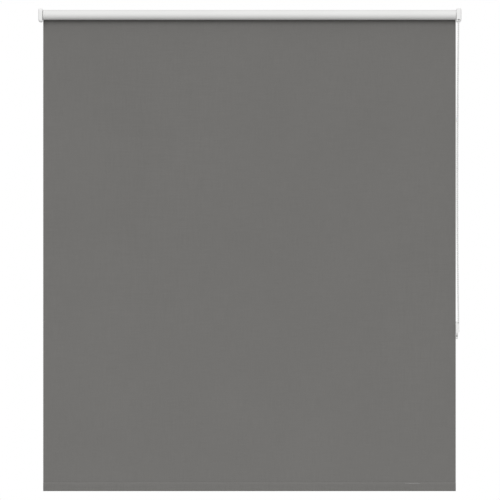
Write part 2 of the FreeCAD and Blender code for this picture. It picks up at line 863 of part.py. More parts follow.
def retaining_screw():
    """A pan-head screw in the end of the post, with a hexagonal socket."""
    start = "post_end - screw_shank_length"
    head = "post_end + washer_thickness"
    body = lathe(
        "retaining_screw", "",
        [
            (start, "0"),
            (f"{head} + screw_head_height", "0"),
            (f"{head} + screw_head_height", "screw_head_radius - screw_head_chamfer"),
            (f"{head} + screw_head_height - screw_head_chamfer", "screw_head_radius"),
            (head, "screw_head_radius"),
            (head, "screw_shank_radius"),
            (start, "screw_shank_radius"),
        ],
    )
    radius = "screw_socket_radius"
    corners = [(f"{radius} * cos({60 * i})", f"{radius} * sin({60 * i})") for i in range(6)]
    extrude(
        "Pocket", body, "YZ_Plane", "socket", [corners], "screw_socket_depth",
        offset=f"-({head} + screw_head_height)", backwards=True,
    )
    return body


# ---------------------------------------------------------------- bead chain


def tube_solid(edges, radius):
    """A round tube along joined straight and round edges; its volume has to be section times length."""
    path = Part.Wire(edges)
    start = path.OrderedEdges[0]
    direction = start.tangentAt(start.FirstParameter)
    profile = Part.Wire(Part.Circle(start.valueAt(start.FirstParameter), direction, radius).toShape())
    solid = path.makePipeShell([profile], True, False)
    expected = math.pi * radius**2 * path.Length
    if abs(solid.Volume - expected) > 0.01 * expected:
        raise RuntimeError(f"a tube's volume is {solid.Volume}, not {expected}")
    return solid


def chain_strands():
    """Where the two strands leave the cover, and the peg's centre."""
    x = size("overall_width / 2 - chain_from_end")
    axis = -size("axis_from_wall")
    reach = size("wheel_pitch_radius")
    exit_height = -size("cover_bottom")
    front = FreeCAD.Vector(x, axis - reach, exit_height)
    rear = FreeCAD.Vector(x, axis + reach, exit_height)
    peg_x = size("overall_width / 2 - peg_from_end")
    peg = FreeCAD.Vector(peg_x, -size("peg_from_wall"), -size("peg_drop"))
    return front, rear, peg


def touch_point(outside, centre, radius, side):
    """Where a line from a point outside a circle touches it, in the plane of the chain's loop."""
    to_centre = centre - outside
    distance = to_centre.Length
    turn = side * math.degrees(math.asin(radius / distance))
    normal = FreeCAD.Vector(1, 0, 0)
    direction = FreeCAD.Rotation(normal, turn).multVec(to_centre.normalize())
    return outside + direction * math.sqrt(distance**2 - radius**2)


def bead_chain_hanging():
    """The chain from the cover down round the peg and back up: straight, round the peg, straight."""
    front, rear, peg = chain_strands()
    radius = size("peg_radius + chain_radius")
    front_touch = touch_point(front, peg, radius, -1)
    rear_touch = touch_point(rear, peg, radius, 1)
    lowest = peg - FreeCAD.Vector(0, 0, radius)
    edges = [
        Part.LineSegment(front, front_touch).toShape(),
        Part.Arc(front_touch, lowest, rear_touch).toShape(),
        Part.LineSegment(rear_touch, rear).toShape(),
    ]
    lengths = [edge.Length for edge in edges]
    print(f"hanging chain: runs and arc {[round(each, 1) for each in lengths]}, in all {sum(lengths):.1f}")
    print(f"hanging chain: arc radius {edges[1].Curve.Radius:.2f}, from {front} to {rear}")
    chain = doc.addObject("Part::Feature", "bead_chain_hanging")
    chain.Shape = tube_solid(edges, size("chain_radius"))
    return keep(chain, "bead_chain_hanging")


def bead_chain_on_wheel():
    """The chain inside the cover: up to the wheel, over it and down again."""
    front, rear, _ = chain_strands()
    gap = FreeCAD.Vector(0, 0, size("close_gap"))
    front, rear = front + gap, rear + gap
    centre = FreeCAD.Vector(front.x, -size("axis_from_wall"), 0)
    reach = size("wheel_pitch_radius")
    front_touch = centre - FreeCAD.Vector(0, reach, 0)
    rear_touch = centre + FreeCAD.Vector(0, reach, 0)
    edges = [
        Part.LineSegment(front, front_touch).toShape(),
        Part.Arc(front_touch, centre + FreeCAD.Vector(0, 0, reach), rear_touch).toShape(),
        Part.LineSegment(rear_touch, rear).toShape(),
    ]
    chain = doc.addObject("Part::Feature", "bead_chain_on_wheel")
    chain.Shape = tube_solid(edges, size("chain_radius"))
    return keep(chain, "bead_chain_on_wheel")


def chain_connector():
    """The clear sleeve that joins the chain's two ends, on the rear strand."""
    _, rear, peg = chain_strands()
    rear_touch = touch_point(rear, peg, size("peg_radius + chain_radius"), 1)
    along = (rear_touch - rear).normalize()
    outer = doc.addObject("Part::Cylinder", "chain_connector_outside")
    bind(outer, Radius="connector_radius", Height="connector_length")
    bore = doc.addObject("Part::Cylinder", "chain_connector_bore")
    bind(bore, Radius="chain_radius + running_fit", Height="connector_length")
    sleeve = doc.addObject("Part::Cut", "chain_connector")
    sleeve.Base = outer
    sleeve.Tool = bore
    start = rear + along * size("connector_drop")
    sleeve.Placement = FreeCAD.Placement(start, FreeCAD.Rotation(FreeCAD.Vector(0, 0, 1), along))
    return keep(sleeve, "chain_connector")


# ---------------------------------------------------------------- chain holder


def clip_x():
    return "overall_width / 2 - clip_from_end"


def chain_clip_body():
    """A cup screwed to the wall, open at the top and right, that keeps the chain's loop tight."""
    body = new_body("chain_clip_body", x=clip_x())
    profile = [
        ("0", "-clip_top"),
        ("0", "-clip_floor"),
        ("-clip_slope_depth", "-clip_floor"),
        ("-clip_depth", "-clip_slope_drop"),
        ("-clip_depth", "-clip_top"),
    ]
    extrude("Pad", body, "YZ_Plane", "cup", [profile], "clip_width")
    front, slope_end, top = -size("clip_depth"), -size("clip_slope_depth"), -size("clip_top")
    fillet(
        body, "clip_round",
        lambda edge: edge_along(edge, "x") and edge.Vertexes[0].Point.z < top - 1
        and (edge_along(edge, "x", y=front) or edge_along(edge, "x", y=slope_end)),
    )
    tab = rectangle("0", "clip_tab_width", "-clip_bottom", "clip_wall - clip_floor")
    extrude("Pad", body, "XZ_Plane", "tab", [tab], "clip_back")
    room = [
        ("-clip_back", "-clip_top + past"),
        ("-clip_back", "-clip_floor + clip_wall"),
        ("-clip_slope_depth - clip_wall * 0.3", "-clip_floor + clip_wall"),
        ("clip_wall - clip_depth", "-clip_slope_drop - clip_wall * 0.3"),
        ("clip_wall - clip_depth", "-clip_top + past"),
    ]
    extrude("Pocket", body, "YZ_Plane", "room", [room], "clip_width", offset="clip_wall", backwards=True)
    lower_corner = [
        ("clip_width + past", "-clip_floor - past"),
        ("clip_width - clip_corner_width", "-clip_floor - past"),
        ("clip_width - clip_corner_width", "-clip_floor"),
        ("clip_width", "clip_corner_height - clip_floor"),
        ("clip_width + past", "clip_corner_height - clip_floor"),
    ]
    extrude("Pocket", body, "XZ_Plane", "lower_corner", [lower_corner], "clip_depth * 3", both_ways=True)
    entry = [
        ("clip_width - clip_entry_width", "-clip_top + past"),
        ("clip_width - clip_entry_width", "-clip_top"),
        ("clip_width", "-clip_top - clip_entry_height"),
        ("clip_width + past", "-clip_top - clip_entry_height"),
        ("clip_width + past", "-clip_top + past"),
    ]
    extrude(
        "Pocket", body, "XZ_Plane", "entry", [entry], "clip_wall * 4", offset="clip_depth", both_ways=True,
    )
    extrude(
        "Pocket", body, "XZ_Plane", "screw_hole",
        [("clip_tab_width / 2", "-clip_hole_drop", "clip_hole_radius")], "clip_back * 3", both_ways=True,
    )
    return body


def chain_clip_peg():
    """The peg, fixed in the cup's cheek, that the chain's lower end runs round."""
    peg = doc.addObject("Part::Cylinder", "chain_clip_peg")
    bind(peg, Radius="peg_radius - peg_chain_gap", Height="clip_width - clip_wall - peg_end_gap")
    peg.Placement.Rotation = FreeCAD.Rotation(FreeCAD.Vector(0, 1, 0), 90)
    place(peg, x=f"{clip_x()} + clip_wall", y="-peg_from_wall", z="-peg_drop")
    return keep(peg, "chain_clip_peg")


def build():
    fill_sheet()
    bracket("left_bracket", "-", "spigot_radius + running_fit")
    bracket_cover("left_bracket_cover", "-", "cover_left_width", "(bush_radius + past)")
    bracket("right_bracket", "", "spigot_radius + running_fit")
    right_cover = bracket_cover("right_bracket_cover", "", "cover_right_width", "(sleeve_bore_radius + past)")
    cut_chain_slots(right_cover)
    idle_bush()
    idle_pin()
    idle_plug()
    idle_plug_cap()
    idle_spring()
    roller_tube()
    fabric_tape()
    fabric_roll()
    fabric_drop()
    hem_pocket()
    bottom_bar()
    bar_end_cap("bar_end_cap_left", "-")
    bar_end_cap("bar_end_cap_right", "")
    control_post()
    chain_guard()
    chain_wheel()
    clutch_spring("clutch_spring_near", "clutch_spring_first")
    clutch_spring("clutch_spring_far", "clutch_spring_second")
    drive_sleeve()
    retaining_washer()
    retaining_screw()
    bead_chain_hanging()
    bead_chain_on_wheel()
    chain_connector()
    chain_clip_body()
    chain_clip_peg()


def check():
    """Every object has to be sound before anything is written."""
    doc.recompute()
    for item in doc.Objects:
        if "Invalid" in item.State or "Error" in item.State:
            raise RuntimeError(f"{item.Label} did not build: {item.State}")
    for item in parts:
        if item.Shape.isNull() or not item.Shape.isValid():
            raise RuntimeError(f"{item.Label} has no valid shape")


def write():
    os.makedirs("parts", exist_ok=True)
    for item in parts:
        item.Shape.exportStep(f"parts/{item.Label}.step")
        box = item.Shape.BoundBox
        volume, count = item.Shape.Volume, len(item.Shape.Solids)
        print(f"{item.Label}: {count} solid, {volume:.1f} mm3")
        print(f"    from {box.XMin:.2f} {box.YMin:.2f} {box.ZMin:.2f}")
        print(f"    to {box.XMax:.2f} {box.YMax:.2f} {box.ZMax:.2f}")


build()
check()
write()
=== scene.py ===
import json
import math

import bmesh
import bpy
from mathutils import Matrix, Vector, noise


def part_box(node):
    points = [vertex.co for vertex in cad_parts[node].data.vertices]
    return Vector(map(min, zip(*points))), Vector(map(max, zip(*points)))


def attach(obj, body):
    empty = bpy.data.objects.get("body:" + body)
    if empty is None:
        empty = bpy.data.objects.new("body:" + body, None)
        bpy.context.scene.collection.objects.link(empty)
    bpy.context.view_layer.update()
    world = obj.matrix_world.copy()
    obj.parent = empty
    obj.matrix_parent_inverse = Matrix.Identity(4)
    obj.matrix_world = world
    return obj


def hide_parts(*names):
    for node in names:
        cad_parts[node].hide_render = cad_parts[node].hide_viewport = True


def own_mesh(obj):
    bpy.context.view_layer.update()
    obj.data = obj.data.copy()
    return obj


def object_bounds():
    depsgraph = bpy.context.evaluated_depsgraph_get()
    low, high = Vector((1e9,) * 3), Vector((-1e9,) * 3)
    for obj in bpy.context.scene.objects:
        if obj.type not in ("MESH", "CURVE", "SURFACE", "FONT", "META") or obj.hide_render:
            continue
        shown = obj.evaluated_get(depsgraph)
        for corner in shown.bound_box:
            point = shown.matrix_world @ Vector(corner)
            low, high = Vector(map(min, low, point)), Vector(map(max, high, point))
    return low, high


MM = 0.001

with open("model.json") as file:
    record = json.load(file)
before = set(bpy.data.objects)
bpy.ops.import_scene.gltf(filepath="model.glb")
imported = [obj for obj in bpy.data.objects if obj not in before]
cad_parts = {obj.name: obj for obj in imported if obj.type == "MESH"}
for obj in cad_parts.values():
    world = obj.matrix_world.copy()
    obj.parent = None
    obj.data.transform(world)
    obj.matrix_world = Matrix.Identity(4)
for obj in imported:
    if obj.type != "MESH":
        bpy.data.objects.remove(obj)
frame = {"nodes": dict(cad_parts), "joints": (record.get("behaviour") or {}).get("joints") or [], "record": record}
cad_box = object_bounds()


# ---------------------------------------------------------------- sizes, from the frame


def joint_travel(name):
    """How far a sliding joint goes from rest, in metres."""
    return max(joint["range_m"][1] for joint in frame["joints"] if joint["name"] == name)


class Place:
    """The blind's main places, in metres, read from the CAD model."""

    cloth_low, cloth_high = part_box("fabric_drop")
    roll_low, roll_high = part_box("fabric_roll")
    hem_low, hem_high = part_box("hem_pocket")
    roller_axis = (roll_low + roll_high) / 2
    roll_radius = (roll_high.z - roll_low.z) / 2
    cloth_thickness = cloth_high.y - cloth_low.y
    cloth_left, cloth_right = cloth_low.x, cloth_high.x
    cloth_width = cloth_high.x - cloth_low.x
    hem_travel = joint_travel("hem_lift")


# ---------------------------------------------------------------- node materials


def new_material(name, colour, roughness, **sockets):
    """A material whose plain values are set on the shader's own sockets."""
    material = bpy.data.materials.new(name)
    material.use_nodes = True
    shader = material.node_tree.nodes["Principled BSDF"]
    shader.inputs["Base Color"].default_value = (*colour, 1)
    shader.inputs["Roughness"].default_value = roughness
    for socket, value in sockets.items():
        shader.inputs[socket.replace("_", " ")].default_value = value
    return material, material.node_tree, shader


def node(tree, kind, **settings):
    made = tree.nodes.new(kind)
    for name, value in settings.items():
        setattr(made, name, value)
    return made


def math_node(tree, operation, first, second=None):
    """A Math node whose inputs are numbers or other nodes' outputs."""
    made = node(tree, "ShaderNodeMath", operation=operation)
    for socket, value in zip(made.inputs, (first, second)):
        if isinstance(value, bpy.types.NodeSocket):
            tree.links.new(value, socket)
        elif value is not None:
            socket.default_value = value
    return made.outputs[0]


def position(tree):
    """The object's own coordinates, in metres, as separate outputs."""
    coordinates = node(tree, "ShaderNodeTexCoord")
    split = node(tree, "ShaderNodeSeparateXYZ")
    tree.links.new(coordinates.outputs["Object"], split.inputs[0])
    return coordinates.outputs["Object"], split.outputs


def noise_node(tree, vector, scale, detail=2.0, stretch=(1, 1, 1)):
    """Noise whose features are 1 / scale metres wide, stretched along the axes."""
    mapping = node(tree, "ShaderNodeMapping")
    mapping.inputs["Scale"].default_value = stretch
    tree.links.new(vector, mapping.inputs["Vector"])
    made = node(tree, "ShaderNodeTexNoise")
    made.inputs["Scale"].default_value = scale
    made.inputs["Detail"].default_value = detail
    tree.links.new(mapping.outputs[0], made.inputs["Vector"])
    return made.outputs["Fac"]


def spread(tree, value, low, high):
    """Map the middle of a noise's range to low..high."""
    made = node(tree, "ShaderNodeMapRange")
    made.inputs["From Min"].default_value = 0.3
    made.inputs["From Max"].default_value = 0.7
    made.inputs["To Min"].default_value = low
    made.inputs["To Max"].default_value = high
    tree.links.new(value, made.inputs["Value"])
    return made.outputs[0]


def tint(tree, shader, colour, shade):
    """Multiply a colour by a varying shade and give it to the shader."""
    mix = node(tree, "ShaderNodeVectorMath", operation="SCALE")
    mix.inputs[0].default_value = colour
    tree.links.new(shade, mix.inputs["Scale"])
    tree.links.new(mix.outputs[0], shader.inputs["Base Color"])


def bump(tree, shader, height, distance, strength=1.0):
    made = node(tree, "ShaderNodeBump")
    made.inputs["Distance"].default_value = distance
    made.inputs["Strength"].default_value = strength
    tree.links.new(height, made.inputs["Height"])
    tree.links.new(made.outputs[0], shader.inputs["Normal"])


WEAVE_PITCH = 0.55 * MM


def weave_height(tree, axes):
    """A plain weave: threads pass over and under each other in a checkerboard."""
    crests, cells = [], []
    for value in (axes["X"], axes["Z"]):
        threads = math_node(tree, "MULTIPLY", value, 1 / WEAVE_PITCH)
        turn = math_node(tree, "MULTIPLY", threads, math.pi)
        crests.append(math_node(tree, "ABSOLUTE", math_node(tree, "SINE", turn)))
        cells.append(math_node(tree, "FLOOR", threads))
    cell = math_node(tree, "ADD", cells[0], cells[1])
    over = math_node(tree, "FLOORED_MODULO", cell, 2.0)
    under = math_node(tree, "SUBTRACT", 1.0, over)
    first = math_node(tree, "MULTIPLY", crests[0], over)
    second = math_node(tree, "MULTIPLY", crests[1], under)
    return math_node(tree, "ADD", first, second), over


def woven_cloth(name, colour):
    """Matt polyester cloth: a fine plain weave with uneven yarns, and painted shade darkening the weave's hollows.
    """
    material, tree, shader = new_material(name, colour, 0.92)
    shader.inputs["Specular IOR Level"].default_value = 0.25
    shader.inputs["Sheen Weight"].default_value = 0.06
    shader.inputs["Sheen Roughness"].default_value = 0.5
    where, axes = position(tree)
    height, over = weave_height(tree, axes)
    warp = noise_node(tree, where, 900, 1.0, (1, 1, 0.02))
    weft = noise_node(tree, where, 900, 1.0, (0.02, 1, 1))
    warp_share = math_node(tree, "MULTIPLY", warp, over)
    weft_share = math_node(tree, "MULTIPLY", weft, math_node(tree, "SUBTRACT", 1.0, over))
    yarn = spread(tree, math_node(tree, "ADD", warp_share, weft_share), 0.93, 1.07)
    patches = spread(tree, noise_node(tree, where, 3.5, 2.0), 0.985, 1.015)
    # painted shade: the colour is darkened where the weave is low, in the hollows between threads
    weave_hollow_shade = math_node(tree, "ADD", math_node(tree, "MULTIPLY", height, 0.22), 0.86)
    shade = math_node(tree, "MULTIPLY", math_node(tree, "MULTIPLY", yarn, patches), weave_hollow_shade)
    tint(tree, shader, colour, shade)
    bump(tree, shader, height, 0.08 * MM, 0.6)
    return material


def coated_cloth(name, colour):
    """The light-blocking coating on the cloth's other side, with the weave just showing through."""
    material, tree, shader = new_material(name, colour, 0.55)
    shader.inputs["Specular IOR Level"].default_value = 0.35
    where, axes = position(tree)
    height, _ = weave_height(tree, axes)
    grain = noise_node(tree, where, 1400, 3.0)
    shade = spread(tree, noise_node(tree, where, 5.0, 3.0), 0.985, 1.01)
    tint(tree, shader, colour, shade)
    relief = math_node(tree, "ADD", math_node(tree, "MULTIPLY", height, 0.25), grain)
    bump(tree, shader, relief, 0.03 * MM, 0.5)
    return material


def moulded_plastic(name, colour, roughness, coarse=1.0):
    """Injection-moulded plastic: a faint orange-peel surface, and gloss that varies a little."""
    material, tree, shader = new_material(name, colour, roughness)
    where, _ = position(tree)
    peel = noise_node(tree, where, 420 / coarse, 2.0)
    fine = noise_node(tree, where, 2600 / coarse, 2.0)
    tint(tree, shader, colour, spread(tree, noise_node(tree, where, 60, 2.0), 0.985, 1.01))
    gloss = spread(tree, noise_node(tree, where, 130, 3.0), roughness - 0.05, roughness + 0.06)
    tree.links.new(gloss, shader.inputs["Roughness"])
    relief = math_node(tree, "ADD", peel, math_node(tree, "MULTIPLY", fine, 0.35))
    bump(tree, shader, relief, 0.02 * MM * coarse, 0.5)
    return material


def bare_metal(name, colour, roughness, along=(0.03, 1, 1)):
    """Metal with fine drawn or turned lines along one axis."""
    material, tree, shader = new_material(name, colour, roughness, Metallic=1.0)
    where, _ = position(tree)
    lines = noise_node(tree, where, 1600, 3.0, along)
    cloudy = noise_node(tree, where, 70, 3.0)
    tint(tree, shader, colour, spread(tree, lines, 0.92, 1.05))
    dull = spread(tree, cloudy, roughness - 0.06, roughness + 0.1)
    tree.links.new(dull, shader.inputs["Roughness"])
    bump(tree, shader, lines, 0.01 * MM, 0.6)
    return material


def painted_steel(name, colour):
    """White powder coating with its fine pebbled texture."""
    material, tree, shader = new_material(name, colour, 0.45)
    where, _ = position(tree)
    pebbles = noise_node(tree, where, 1100, 2.0)
    tint(tree, shader, colour, spread(tree, noise_node(tree, where, 45, 2.0), 0.98, 1.01))
    tree.links.new(spread(tree, pebbles, 0.4, 0.55), shader.inputs["Roughness"])
    bump(tree, shader, pebbles, 0.04 * MM, 0.6)
    return material


def milky_plastic(name, colour):
    """The connector's cloudy see-through plastic."""
    material, tree, shader = new_material(name, colour, 0.3)
    shader.inputs["Subsurface Weight"].default_value = 0.3
    shader.inputs["Subsurface Scale"].default_value = 2 * MM
    where, _ = position(tree)
    tint(tree, shader, colour, spread(tree, noise_node(tree, where, 300, 2.0), 0.96, 1.02))
    bump(tree, shader, noise_node(tree, where, 900, 2.0), 0.02 * MM, 0.5)
    return material


GREY = (0.1775, 0.174, 0.167)
CLOTH = woven_cloth("cloth_grey_weave", GREY)
COATING = coated_cloth("cloth_white_coating", (0.80, 0.80, 0.79))
COVER = moulded_plastic("cover_white", (0.88, 0.88, 0.875), 0.32)
CHAIN = moulded_plastic("chain_white", (0.88, 0.88, 0.87), 0.3, 0.6)
CORD = moulded_plastic("chain_core", (0.80, 0.80, 0.78), 0.6, 0.4)
CLIP = moulded_plastic("clip_white", (0.87, 0.87, 0.86), 0.34)
MECHANISM = moulded_plastic("mechanism_off_white", (0.74, 0.74, 0.72), 0.5)
END_CAP = moulded_plastic("end_cap_grey", (0.16, 0.16, 0.155), 0.5)
CONNECTOR = milky_plastic("connector_milky", (0.86, 0.87, 0.87))
BRACKET = painted_steel("bracket_powder_coat", (0.80, 0.80, 0.79))
BAR = painted_steel("bar_lacquer", (0.55, 0.55, 0.55))
ALUMINIUM = bare_metal("tube_aluminium", (0.78, 0.78, 0.80), 0.32)
STEEL = bare_metal("turned_steel", (0.60, 0.60, 0.61), 0.28, (1, 0.05, 1))
SPRING = bare_metal("spring_steel", (0.48, 0.48, 0.50), 0.35)
TAPE = moulded_plastic("tape_film", (0.86, 0.86, 0.82), 0.4)


# ---------------------------------------------------------------- mesh helpers


# How close points have to be to be joined into one.
SAME_PLACE = 0.002 * MM

# How far a cutter reaches past what it cuts.
OVER = 1 * MM


def new_piece(name, verts, faces, materials, body, replaced, face_materials=None):
    """A mesh object that rides on a body and stands for CAD nodes."""
    mesh = bpy.data.meshes.new(name)
    mesh.from_pydata([tuple(v) for v in verts], [], faces)
    for material in materials:
        mesh.materials.append(material)
    if face_materials:
        mesh.polygons.foreach_set("material_index", face_materials)
    mesh.validate()
    outwards(mesh)
    piece = bpy.data.objects.new(name, mesh)
    bpy.context.scene.collection.objects.link(piece)
    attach(piece, body)
    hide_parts(*replaced)
    return piece


def outwards(mesh):
    """Point every face's normal out of the mesh."""
    work = bmesh.new()
    work.from_mesh(mesh)
    bmesh.ops.recalc_face_normals(work, faces=work.faces)
    work.to_mesh(mesh)
    work.free()


def smooth(piece, degrees=35):
    """Smooth shading that keeps real edges crisp."""
    mesh = piece.data
    mesh.shade_smooth()
    mesh.set_sharp_from_angle(angle=math.radians(degrees))
    return piece


def apply_modifiers(piece):
    """Replace the piece's mesh by its evaluated one."""
    bpy.context.view_layer.update()
    evaluated = piece.evaluated_get(bpy.context.evaluated_depsgraph_get())
    mesh = bpy.data.meshes.new_from_object(evaluated)
    piece.modifiers.clear()
    piece.data = mesh


def bevel(piece, width, segments=3, degrees=40):
    """Round the piece's sharp edges."""
    modifier = piece.modifiers.new("bevel", "BEVEL")
    modifier.width = width
    modifier.segments = segments
    modifier.limit_method = "ANGLE"
    modifier.angle_limit = math.radians(degrees)
    apply_modifiers(piece)


def cut(piece, cutters):
    """Take closed shapes away from a piece, and delete them."""
    for cutter in cutters:
        modifier = piece.modifiers.new("cut", "BOOLEAN")
        modifier.operation = "DIFFERENCE"
        modifier.solver = "EXACT"
        modifier.object = cutter
        apply_modifiers(piece)
        bpy.data.objects.remove(cutter)
    work = bmesh.new()
    work.from_mesh(piece.data)
    bmesh.ops.remove_doubles(work, verts=work.verts, dist=SAME_PLACE)
    bmesh.ops.dissolve_degenerate(work, edges=work.edges, dist=SAME_PLACE)
    work.to_mesh(piece.data)
    work.free()


def prism(outline, axis, low, high):
    """A temporary closed solid: an outline in the plane across an axis, between two places along it."""
    count = len(outline)
    verts = []
    for at in (low, high):
        for a, b in outline:
            point = [a, b]
            point.insert("xyz".index(axis), at)
            verts.append(point)
    faces = [list(range(count))[::-1], list(range(count, 2 * count))]
    faces += [[i, (i + 1) % count, count + (i + 1) % count, count + i] for i in range(count)]
    mesh = bpy.data.meshes.new("cutter")
    mesh.from_pydata(verts, [], faces)
    outwards(mesh)
    cutter = bpy.data.objects.new("cutter", mesh)
    bpy.context.scene.collection.objects.link(cutter)
    return cutter


def block(x, y, z):
    """A temporary box between two places along each axis."""
    return prism([(x[0], y[0]), (x[1], y[0]), (x[1], y[1]), (x[0], y[1])], "z", *z)


def disc(centre, radius, axis, low, high, sides=48):
    """A temporary cylinder along an axis."""
    outline = [
        (centre[0] + radius * math.cos(turn), centre[1] + radius * math.sin(turn))
        for turn in (2 * math.pi * i / sides for i in range(sides))
    ]
    return prism(outline, axis, low, high)


def tube_faces(rings, around, closed_ends=True):
    """Faces that join rings of vertices into a tube."""
    faces = []
    for i in range(rings - 1):
        for j in range(around):
            k = (j + 1) % around
            faces.append([i * around + j, i * around + k, (i + 1) * around + k, (i + 1) * around + j])
    if closed_ends:
        faces.append(list(range(around))[::-1])
        faces.append(list(range((rings - 1) * around, rings * around)))
    return faces


def quarter_turn(steps, first=0):
    """Angles in even steps up to a quarter turn."""
    return [math.pi / 2 * i / steps for i in range(first, steps + 1)]


def corner_arc(centre, radius, start, steps):
    """Points of a quarter circle that turns anticlockwise from a start angle in degrees."""
    return [
        (
            centre[0] + radius * math.cos(math.radians(start + 90 * i / steps)),
            centre[1] + radius * math.sin(math.radians(start + 90 * i / steps)),
        )
        for i in range(steps + 1)
    ]


def rounded_outline(low, high, radii, steps=8):
    """A rectangle with its own radius at each corner: high-high, low-high, low-low, high-low."""
    (x0, y0), (x1, y1) = low, high
    a, b, c, d = radii
    return (
        corner_arc((x1 - a, y1 - a), a, 0, steps)
        + corner_arc((x0 + b, y1 - b), b, 90, steps)
        + corner_arc((x0 + c, y0 + c), c, 180, steps)
        + corner_arc((x1 - d, y0 + d), d, 270, steps)
    )


# ---------------------------------------------------------------- camera, light and floor


FRAME_TO_OBJECT = 1.1808
VIEW_DISTANCE = 40.0
SENSOR = 36.0
AIM_RIGHT = 0.5 * MM
AIM_DOWN = 0.8 * MM


def make_camera():
    """A very long lens near the object's middle, square to the wall."""
    low, high = (Vector(corner) for corner in cad_box)
    middle = (low + high) / 2
    width = (high.x - low.x) * FRAME_TO_OBJECT
    data = bpy.data.cameras.new("camera")
    data.sensor_width = SENSOR
    data.lens = SENSOR * (VIEW_DISTANCE + low.y) / width
    data.clip_end = 2 * VIEW_DISTANCE
    camera = bpy.data.objects.new("camera", data)
    camera.location = (middle.x + AIM_RIGHT, -VIEW_DISTANCE, middle.z - AIM_DOWN)
    camera.rotation_euler = (math.pi / 2, 0, 0)
    bpy.context.scene.collection.objects.link(camera)
    bpy.context.scene.camera = camera


make_camera()


# ---------------------------------------------------------------- bead chain


BEAD_RADIUS = 2.25 * MM
BEAD_PITCH = 6 * MM
CORE_RADIUS = 0.8 * MM
CORE_SIDES = 8
CONNECTOR_FROM_TOP = 0.300

# A bead's outline from end to end: the place along it and its radius, in shares of the bead's radius.
BEAD_PROFILE = [
    (-0.98, 0.36), (-0.86, 0.62), (-0.55, 0.88), (-0.12, 1.0),
    (0.12, 1.0), (0.55, 0.88), (0.86, 0.62), (0.98, 0.36),
]

# The route's points: out of the cover, down the front strand, round the peg and up the rear strand.
CHAIN_ROUTE = [
    (0.6410, -0.0403, -0.0224),
    (0.6406, -0.0391, -0.1000),
    (0.6394, -0.0367, -0.2500),
    (0.6384, -0.0335, -0.4500),
    (0.6384, -0.0304, -0.6500),
    (0.6396, -0.0277, -0.8200),
    (0.6408, -0.0259, -0.9330),
    (0.6408, -0.02575, -0.95325),
    (0.6408, -0.02575, -0.96675),
    (0.6408, -0.01225, -0.96675),
    (0.6408, -0.01225, -0.95325),
    (0.6408, -0.0122, -0.9330),
    (0.6390, -0.0122, -0.8200),
    (0.6372, -0.0120, -0.6500),
    (0.6367, -0.0119, -0.4500),
    (0.6380, -0.0118, -0.2500),
    (0.6402, -0.0117, -0.1000),
    (0.6410, -0.0117, -0.0224),
]


def spline_line(points):
    """The smooth line that a NURBS spline makes of a route's points."""
    curve = bpy.data.curves.new("route", "CURVE")
    curve.dimensions = "3D"
    curve.resolution_u = 24
    spline = curve.splines.new("NURBS")
    spline.points.add(len(points) - 1)
    for point, place in zip(spline.points, points):
        point.co = (*place, 1)
    spline.order_u = 3
    spline.use_endpoint_u = True
    guide = bpy.data.objects.new("route", curve)
    bpy.context.scene.collection.objects.link(guide)
    bpy.context.view_layer.update()
    mesh = bpy.data.meshes.new_from_object(guide)
    line = [vertex.co.copy() for vertex in mesh.vertices]
    bpy.data.objects.remove(guide)
    return line


def line_length(line):
    return sum((b - a).length for a, b in zip(line, line[1:]))


def along_line(line, distance):
    """The point and the direction at a distance along a line."""
    for a, b in zip(line, line[1:]):
        step = (b - a).length
        if distance <= step or b is line[-1]:
            return a + (b - a) * (distance / max(step, 1e-9)), (b - a).normalized()
        distance -= step


def every(line, first, pitch):
    """Points and directions along a line at a pitch, from a first distance on."""
    length = line_length(line)
    count = int((length - first) / pitch) + 1
    found, at, index, travelled = [], first, 0, 0.0
    for _ in range(count):
        while index < len(line) - 2 and travelled + (line[index + 1] - line[index]).length < at:
            travelled += (line[index + 1] - line[index]).length
            index += 1
        step = line[index + 1] - line[index]
        found.append((line[index] + step * ((at - travelled) / step.length), step.normalized()))
        at += pitch
    return found


def sideways(direction):
    """Two directions square to a line and to each other."""
    side = direction.cross(Vector((1, 0, 0)))
    if side.length < 1e-3:
        side = direction.cross(Vector((0, 1, 0)))
    side.normalize()
    return side, direction.cross(side).normalized()


def ring_at(point, direction, radius, around):
    """A circle of points round a line."""
    side, other = sideways(direction)
    return [
        point + side * (radius * math.cos(angle)) + other * (radius * math.sin(angle))
        for angle in (2 * math.pi * i / around for i in range(around))
    ]


def bead_mesh(line, first, around=16):
    """Beads and the core between them, as vertices, faces and a material number for each face."""
    verts, faces, kinds = [], [], []
    places = every(line, first, BEAD_PITCH)
    for point, direction in places:
        start = len(verts)
        for along, radius in BEAD_PROFILE:
            centre = point + direction * (along * BEAD_RADIUS)
            verts += ring_at(centre, direction, radius * BEAD_RADIUS, around)
        found = tube_faces(len(BEAD_PROFILE), around)
        faces += [[start + i for i in face] for face in found]
        kinds += [0] * len(found)
    core = [line[0]] + [point for point, _ in places] + [line[-1]]
    start = len(verts)
    rings = 0
    for i, point in enumerate(core):
        direction = core[min(i + 1, len(core) - 1)] - core[max(i - 1, 0)]
        if direction.length < 1e-6:
            continue
        verts += ring_at(point, direction.normalized(), CORE_RADIUS, CORE_SIDES)
        rings += 1
    found = tube_faces(rings, CORE_SIDES)
    faces += [[start + i for i in face] for face in found]
    kinds += [1] * len(found)
    return verts, faces, kinds


